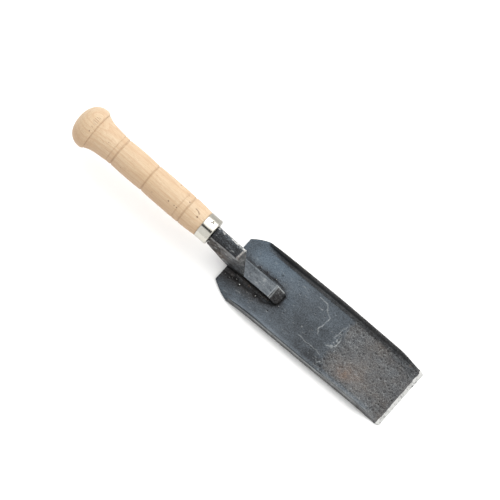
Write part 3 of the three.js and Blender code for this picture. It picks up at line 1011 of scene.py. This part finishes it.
def bead_piece(side):
    """A rippled fillet in the corner between the foot's side and the blade."""
    low, high = box_mm("weld_bead_" + side)
    sign = -1 if side == "right" else 1
    seed, wave, uneven_share, tone_level, brown_level = BEAD_LOOK[side]
    steps = 190
    columns = 16
    around = columns + 1
    on_face = np.arange(around) < columns          # the last column is the hidden corner
    along = np.linspace(0, 1, steps)[:, None]
    angle = np.append(np.linspace(0, np.pi / 2, columns), 0)[None, :]
    x = lerp(low[0], high[0], along) + 0 * angle
    flat = x.ravel()[:, None] * np.array([1, 0, 0])
    uneven = value_noise(flat, 4.2, seed).reshape(x.shape)
    ends = np.sin(np.pi * (0.02 + 0.96 * along)) ** 0.35
    leg = BEAD_LEG * ends * (1 + uneven_share * uneven)
    phase = 2 * np.pi * (x + 1.3 * np.sin(2 * angle) + 0.7 * uneven) / BEAD_PITCH
    crests = np.abs(np.sin(phase / 2)) * on_face
    reach = leg * (1 - 0.2 * np.sin(2 * angle)) + wave * (crests - 0.5) * ends
    y = FOOT_SIDE[side] + sign * (BEAD_GAP + reach * on_face * np.cos(angle))
    z = SHEET + BEAD_GAP + reach * on_face * np.sin(angle)
    points = np.stack([x, y, z], axis=-1).reshape(-1, 3)
    lumps = 0.12 * fractal(points, 1.8, seed + 5, 3)
    points[:, 1] += sign * lumps * np.tile(on_face, steps)
    faces = ring_faces(steps, around)
    faces.append(tuple(range(around)))
    faces.append(tuple(range((steps - 1) * around, steps * around)))
    bead = mesh_piece("weld_" + side, points, faces, 70)
    valley = 1 - crests.ravel()
    up_wall = (angle / (np.pi / 2) + 0 * x).ravel()
    tone = tone_level + 0.12 * fractal(points, 2.4, seed + 9, 3) - 0.6 * wave * valley
    # painted shade in the corner: darker up the wall towards the foot
    tone -= 0.28 * ease(up_wall, 0.55, 0.9)
    paint(
        bead,
        tone=tone,
        brown=brown_level + 0.4 * fractal(points, 5, seed + 12, 2),
        wear=0.30 * (1 - valley) * (0.5 + fractal(points, 2, seed + 15, 2)),
        rust=0.25 * ease(fractal(points, 4, seed + 18, 2), 0.3, 0.7),
        pitted=0.4 + 0 * tone,
    )
    return bead


def spatter_piece():
    """Beads of weld metal that froze on the blade."""
    rings, around = 9, 16
    points = []
    faces = []
    for number, (x, y, radius) in enumerate(SPATTER):
        first = len(points)
        tilt = np.linspace(0.12, np.pi - 0.12, rings)[:, None]
        turn = np.linspace(0, 2 * np.pi, around, endpoint=False)[None, :]
        ball = np.stack(
            [np.sin(tilt) * np.cos(turn), np.sin(tilt) * np.sin(turn), np.cos(tilt) + 0 * turn],
            axis=-1,
        ).reshape(-1, 3)
        lumpy = 1 + 0.12 * value_noise(ball + number * 7, 0.9, 300 + number)
        ball = ball * lumpy[:, None] * radius * np.array([1, 1, 0.72])
        points.extend(ball + np.array([x, y, SHEET + 0.35 * radius]))
        faces.extend(ring_faces(rings, around, first))
        faces.append(tuple(range(first, first + around)))
        faces.append(tuple(range(first + (rings - 1) * around, first + rings * around)))
    points = np.array(points)
    spatter = mesh_piece("weld_spatter", points, faces, 80)
    radii = np.repeat([radius for _, _, radius in SPATTER], rings * around)
    # a painted highlight: the tops of the balls are painted pale and bare
    top = ease((points[:, 2] - SHEET) / radii, 0.85, 1.02)
    paint(
        spatter,
        tone=0.10 + 0.3 * top,
        brown=0.5 + 0 * top,
        wear=0.75 * top,
        pitted=0.3 + 0 * top,
    )
    return spatter


# ---- grip

def grip_matrix():
    """The grip's frame: X to the tool's left, Y down, Z from the ferrule to the knob."""
    low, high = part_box("ferrule")
    axis = Vector((-math.cos(GRIP_CLIMB), 0, math.sin(GRIP_CLIMB)))
    front = (low + high) / 2 - axis * (FERRULE_LENGTH / 2 * MM)
    down = Vector((-math.sin(GRIP_CLIMB), 0, -math.cos(GRIP_CLIMB)))
    matrix = Matrix.Identity(4)
    for column, values in enumerate(((0, 1, 0), down, axis, front)):
        for row in range(3):
            matrix[row][column] = values[row]
    return matrix


def turned(profile, sides):
    """Radius, angle and height of each point of a turned form; angle 0 faces up."""
    radius = np.repeat(profile[:, :1], sides, axis=1)
    height = np.repeat(profile[:, 1:], sides, axis=1)
    angle = np.tile(np.linspace(-np.pi, np.pi, sides, endpoint=False), (len(profile), 1))
    return radius, angle, height


def grip_points(radius, angle, height):
    points = [radius * np.sin(angle), -radius * np.cos(angle), height]
    return np.stack(points, axis=-1).reshape(-1, 3)


def catmull_rom(knots, count):
    """A smooth curve through the knots."""
    knots = np.array(knots, float)
    padded = np.concatenate([knots[:1], knots, knots[-1:]])
    places = np.linspace(0, len(knots) - 1 - 1e-9, count)
    index = places.astype(int)
    part = (places - index)[:, None]
    a, b, c, d = (padded[index + k] for k in range(4))
    return 0.5 * (
        2 * b + (c - a) * part + (2 * a - 5 * b + 4 * c - d) * part**2
        + (3 * b - a - 3 * c + d) * part**3
    )


def arc(centre, radii, start, end, count):
    angle = np.linspace(start, end, count)[:, None]
    return np.array(centre) + np.array(radii) * np.hstack([np.cos(angle), np.sin(angle)])


def body_radius(height):
    first, second, third = GROOVES
    knots = (
        (12.2, FERRULE_LENGTH), (12.95, 21.35), (13.3, first), (13.5, first + 15),
        (13.55, second - 12), (13.3, second), (13.6, second + 12), (13.6, third - 10),
        (13.35, third), (13.8, third + 8), (14.35, third + 14), (15.2, third + 20),
        (16.5, third + 24.2), (17.9, RIM_CREASE),
    )
    curve = catmull_rom(knots, 2000)
    return np.interp(height, curve[:, 1], curve[:, 0])


def groove_depth(height, angle):
    depth = 0
    for number, at in enumerate(GROOVES):
        lean = 0.25 * np.sin(angle + number)
        inside = np.clip(1 - np.abs(height - at - lean) / GROOVE_HALF_WIDTH, 0, 1)
        depth = depth + GROOVE_DEPTH * inside**0.8
    for at in FAINT_RINGS:
        depth = depth + FAINT_DEPTH * falloff(height - at, 0.5)
    return depth


# dark marks in the wood: (distance from the ferrule's front, degrees round, radius)
WOOD_MARKS = (
    (18.8, -6, 0.72), (46.2, -31, 0.55), (40.1, -30, 0.45), (37.6, -30, 0.42),
    (31.8, 18, 0.5), (47.3, 56, 0.5), (36, 38, 0.35), (135.5, -21, 0.45),
    (62, -48, 0.3), (88, 10, 0.25), (117, -12, 0.3), (96, -58, 0.28),
)
# dark hairlines: half-width, strength and a path of (distance, degrees)
WOOD_LINES = (
    (0.34, 0.75, ((24.2, 15), (22.2, 14.5), (20.4, 11.5), (19.0, 6.5))),
    (0.2, 0.5, ((135, -9), (136.6, -9))),
    (0.2, 0.5, ((134.6, -3), (136.8, -3))),
    (0.24, 0.5, ((134.5, 2), (138.5, 3))),
    (0.24, 0.5, ((134.3, 7.5), (139.5, 8.5))),
    (0.24, 0.5, ((134.4, 13), (138.8, 14))),
    (0.22, 0.5, ((134.6, 18), (138.2, 19))),
    (0.2, 0.5, ((134.8, 23), (137.6, 24))),
)


def wood_marks(radius, angle, height):
    """How strongly each point of a turned form is marked, from 0 to 1."""
    around = np.degrees(angle).ravel()
    along = height.ravel()
    reach = radius.ravel()
    found = np.zeros(len(along))
    for at, turn, size in WOOD_MARKS:
        across = reach * np.radians(around - turn)
        gap = np.hypot(across, (along - at) * 0.8)
        found = np.maximum(found, ease(gap, size * 1.3, size * 0.5))
    places = np.stack([along, reach * np.radians(around)], axis=1)
    for size, strength, path in WOOD_LINES:
        mean = np.mean(reach[np.abs(along - path[0][0]) < 3])
        line = [(at, mean * math.radians(turn)) for at, turn in path]
        gap = line_distance(places, line)
        found = np.maximum(found, strength * ease(gap, size * 1.8, size * 0.4))
    return found.reshape(radius.shape)


def handle_profile():
    """The handle's section from its pocket to its knob, and how many points its pocket and body have.
    """
    stations = [np.arange(FERRULE_LENGTH + 0.45, RIM_CREASE - 0.6, 0.55)]
    for at in GROOVES:
        stations.append(np.arange(at - 1.4, at + 1.4, 0.1))
    for at in FAINT_RINGS:
        stations.append(np.arange(at - 1, at + 1, 0.2))
    height = np.unique(np.round(np.concatenate(stations), 2))
    body = np.stack([body_radius(height), height], axis=1)
    inside = np.array([
        (POCKET_RADIUS[0], POCKET_DEPTH), (POCKET_RADIUS[1], SPIGOT_FRONT),
        (SPIGOT_RADIUS, SPIGOT_FRONT), (SPIGOT_RADIUS, WOOD_SHOULDER),
        (SPIGOT_RADIUS + 0.8, WOOD_SHOULDER), (SPIGOT_RADIUS + 1.05, WOOD_SHOULDER + 0.1),
    ])
    turn = np.linspace(0, np.pi / 2, 70)[1:-1]
    power = 2 / KNOB_FULLNESS
    crown = KNOB_WIDEST + (GRIP_LENGTH - KNOB_WIDEST) * np.sin(turn) ** power
    dome = np.stack([KNOB_RADIUS * np.cos(turn) ** power, crown], axis=1)
    rim = (
        (17.45, RIM_CREASE - 0.25), (17.4, RIM_CREASE + 0.05), (18.2, RIM_CREASE + 0.45),
        (19.15, RIM_CREASE + 1.7), (KNOB_RADIUS, KNOB_WIDEST),
    )
    knob = np.concatenate([catmull_rom(rim, 26), dome])
    return np.concatenate([inside, body, knob]), len(inside), len(body)


def handle_piece():
    profile, inside_count, body_count = handle_profile()
    sides = GRIP_SIDES
    radius, angle, height = turned(profile, sides)
    number = np.arange(len(profile))[:, None]
    shown = number >= inside_count
    on_body = shown & (number < inside_count + body_count)
    cut = groove_depth(height, angle)
    radius = radius - np.where(on_body, cut, 0)
    places = grip_points(radius, angle, height)
    hand = 0.10 * fractal(places, 18, 400, 2) + 0.03 * fractal(places, 5, 403, 2)
    radius = radius + np.where(shown, hand.reshape(radius.shape), 0)
    marks = np.where(shown, wood_marks(radius, angle, height), 0)
    radius = radius - MARK_DEPTH * marks
    points = grip_points(radius, angle, height)
    faces = ring_faces(len(profile), sides)
    inner_pole = len(points)
    points = np.concatenate([points, [[0, 0, POCKET_DEPTH], [0, 0, GRIP_LENGTH]]])
    last = (len(profile) - 1) * sides
    for j in range(sides):
        k = (j + 1) % sides
        faces.append((inner_pole, k, j))
        faces.append((inner_pole + 1, last + j, last + k))
    handle = mesh_piece("handle_turned", points, faces, 60)
    handle.matrix_world = grip_matrix()

    groove = np.where(on_body, cut / GROOVE_DEPTH, 0)
    # a painted shadow in the crease under the knob's rim, varying round the grip
    seat = 0.9 * falloff(height - RIM_CREASE, 0.42)
    groove = np.maximum(groove, seat * (0.55 + 0.45 * np.sin(angle + 0.9)))
    groove = np.maximum(groove, 0.55 * ease(height, 13.4, 12.1) * shown)
    # hands have darkened the waist and the knob;
    # the right side, most of all on the knob, is darkened as painted shade
    handled_and_shaded = 0.5 + 0.5 * fractal(places, 30, 410, 2).reshape(radius.shape)
    handled_and_shaded = 0.28 * handled_and_shaded + 0.75 * ease(-angle, 0.1, 1.4)
    handled_and_shaded = handled_and_shaded + 0.2 * falloff(height - 129.5, 3) + 0.3 * falloff(height - 107.6, 2.2)
    handled_and_shaded = handled_and_shaded + 0.45 * (height > RIM_CREASE + 6) * ease(-angle, 0.4, 1.6)
    layers = {"groove": groove, "mark": marks, "handled_and_shaded": handled_and_shaded}
    poles = np.zeros(2)
    paint(handle, **{name: np.concatenate([values.ravel(), poles]) for name, values in layers.items()})
    handle.data.materials.append(wood_material())
    return handle


# punched dots on the ferrule: (distance from its front, degrees round)
PUNCH_MARKS = ((6.7, 17.5), (5.1, 19), (5.9, 25))
SEAM_ANGLE = math.radians(37)


def ferrule_piece():
    inner = FERRULE_RADIUS - FERRULE_WALL
    corner = 1.4
    wall = np.stack([np.full(44, FERRULE_RADIUS), np.linspace(1.6, 11.5, 44)], axis=1)
    profile = np.concatenate([
        np.array([(FERRULE_HOLE, 0.15), (FERRULE_HOLE + 0.2, 0), (9.0, 0)]),
        arc((FERRULE_RADIUS - corner, corner), (corner, corner), -np.pi / 2, 0, 12),
        wall,
        arc((FERRULE_RADIUS - 0.35, FERRULE_LENGTH - 0.35), (0.35, 0.35), 0, np.pi / 2, 5),
        np.array([(inner, FERRULE_LENGTH), (inner, FERRULE_WALL + 0.2), (FERRULE_HOLE, FERRULE_WALL)]),
    ])
    radius, angle, height = turned(profile, FERRULE_SIDES)
    places = grip_points(radius, angle, height)
    outside = (radius > inner + 0.3) & (height > 1)
    bulge = 0.10 * fractal(places, 7, 500, 2).reshape(radius.shape)
    dents = np.zeros(radius.shape)
    for at, turn in PUNCH_MARKS:
        across = FERRULE_RADIUS * (angle - math.radians(turn))
        near = np.hypot(across, height - at)
        dents = np.maximum(dents, ease(near, 0.85, 0.5))
    seam = falloff(FERRULE_RADIUS * (angle - SEAM_ANGLE), 0.28) * ease(height, 8.6, 10.5)
    radius = radius + np.where(outside, bulge - 0.28 * dents - 0.2 * seam, 0)
    points = grip_points(radius, angle, height)
    faces = ring_faces(len(profile), FERRULE_SIDES, closed=True)
    ferrule = mesh_piece("ferrule_drawn", points, faces, 40)
    ferrule.matrix_world = grip_matrix()
    rear_edge = ease(height, 11.5, 11.9) * 0.35
    front_edge = ease(height, 0.7, 0.1) * 0.25
    left_band = 0.58 * ease(angle, 0.46, 0.56) * ease(angle, 1.9, 1.3)
    tarnish = dents
    for darker in (0.7 * seam, rear_edge, front_edge, left_band):
        tarnish = np.maximum(tarnish, darker)
    paint(ferrule, tarnish=tarnish.ravel())
    ferrule.data.materials.append(ferrule_material())
    return ferrule


# ---- stage

AZIMUTH = math.radians(40.9)
ELEVATION = math.radians(76)
FRAME_WIDTH = 0.4237
LENS = 600
SENSOR = 36
# the picture's middle, from the middle of the CAD box, along the picture's axes
AIM_RIGHT = 0.0082
AIM_UP = 0.0046
KEY_DIRECTION = Vector((0.10, 0.55, 0.83)).normalized()
KEY_DISTANCE = 1.6
KEY_SIZE = 1.3
KEY_ENERGY = 8
SKY_LOW = 1.16
SKY_HIGH = 2.46
FLAG_LEVEL = 0.07                   # how much of the sky the flag lets through
BACKDROP_LEVEL = 0.92


def add_camera():
    back = Vector((
        math.sin(AZIMUTH) * math.cos(ELEVATION),
        -math.cos(AZIMUTH) * math.cos(ELEVATION),
        math.sin(ELEVATION),
    ))
    right = Vector((math.cos(AZIMUTH), math.sin(AZIMUTH), 0))
    up = back.cross(right)
    aim = (CAD_BOX[0] + CAD_BOX[1]) / 2 + right * AIM_RIGHT + up * AIM_UP
    lens = bpy.data.cameras.new("camera")
    lens.lens = LENS
    lens.sensor_width = SENSOR
    lens.clip_end = 40
    camera = bpy.data.objects.new("camera", lens)
    camera.location = aim + back * (FRAME_WIDTH * LENS / SENSOR)
    camera.rotation_euler = back.to_track_quat("Z", "Y").to_euler()
    bpy.context.scene.collection.objects.link(camera)
    bpy.context.scene.camera = camera


def add_floor():
    size = 8
    steps = 41
    grid = np.linspace(-size, size, steps)
    points = [(x, y, 0) for x in grid for y in grid]
    faces = []
    for i in range(steps - 1):
        for j in range(steps - 1):
            a = i * steps + j
            faces.append((a, a + steps, a + steps + 1, a + 1))
    floor = mesh_piece("floor", np.array(points) / MM, faces)
    pale = Paint("pale_floor")
    cloud = pale.noise(0.004, 3, 0.5)
    colour = pale.mix(cloud, (0.90, 0.90, 0.895), (0.93, 0.93, 0.925))
    floor.data.materials.append(pale.finish(Base_Color=colour, Roughness=0.9))


def add_key():
    area = bpy.data.lights.new("key", "AREA")
    area.shape = "DISK"
    area.size = KEY_SIZE
    area.energy = KEY_ENERGY
    area.color = (1.0, 0.985, 0.96)
    key = bpy.data.objects.new("key", area)
    middle = (CAD_BOX[0] + CAD_BOX[1]) / 2
    key.location = middle + KEY_DIRECTION * KEY_DISTANCE
    key.rotation_euler = KEY_DIRECTION.to_track_quat("Z", "Y").to_euler()
    bpy.context.scene.collection.objects.link(key)


def add_world():
    """A pale studio, brighter towards the key, with a dark flag that the ferrule mirrors."""
    world = bpy.data.worlds.new("studio")
    world.use_nodes = True
    bpy.context.scene.world = world
    world.node_tree.nodes.clear()
    studio = Nodes(world.node_tree)
    direction = studio.node("TexCoord").outputs["Generated"]
    towards = studio.node("VectorMath", {0: direction, 1: KEY_DIRECTION}, operation="DOT_PRODUCT")
    axes = studio.node("SeparateXYZ", {0: direction}).outputs
    sky = studio.span(towards.outputs["Value"], 0.50, 1.0, SKY_LOW, SKY_HIGH, smooth=True)
    # the flag: a dark card overhead, a little to the right of the camera
    near_edge = studio.span(axes["Y"], -0.24, -0.12, 1, 0, smooth=True)
    far_edge = studio.span(axes["Y"], -0.56, -0.47, 0, 1, smooth=True)
    overhead = studio.span(axes["Z"], 0.70, 0.78, 0, 1, smooth=True)
    flag = studio.times(studio.times(near_edge, far_edge), overhead)
    level = studio.times(sky, studio.span(flag, 0, 1, 1, FLAG_LEVEL, smooth=True))
    seen = studio.node("LightPath").outputs["Is Camera Ray"]
    strength = studio.node("Mix", {0: seen, 2: level, 3: BACKDROP_LEVEL}).outputs[0]
    background = studio.node("Background", {"Color": (1, 1, 1), "Strength": strength})
    studio.node("OutputWorld", {"Surface": background.outputs[0]})


# ---- assembly

def main():
    blade = blade_piece()
    shank = shank_piece()
    bead_left = bead_piece("left")
    bead_right = bead_piece("right")
    spatter = spatter_piece()
    ferrule = ferrule_piece()
    handle = handle_piece()

    weld_metal = steel_material("weld_scale", streaks=0.1, grit=1.5)
    for bead in (bead_left, bead_right, spatter):
        bead.data.materials.append(weld_metal)

    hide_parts("blade")
    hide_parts("shank")
    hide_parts("weld_bead_left")
    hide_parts("weld_bead_right")
    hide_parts("ferrule")
    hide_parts("handle")
    slots = {
        "blade_steel": (blade,),
        "shank_steel": (shank,),
        "weld_metal": (bead_left, bead_right, spatter),
        "ferrule_metal": (ferrule,),
        "handle_wood": (handle,),
    }
    for slot, pieces in slots.items():
        for piece in pieces:
            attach(piece, "root")

    add_floor()
    add_key()
    add_world()
    add_camera()
    bpy.context.scene.view_settings.view_transform = "Standard"


main()
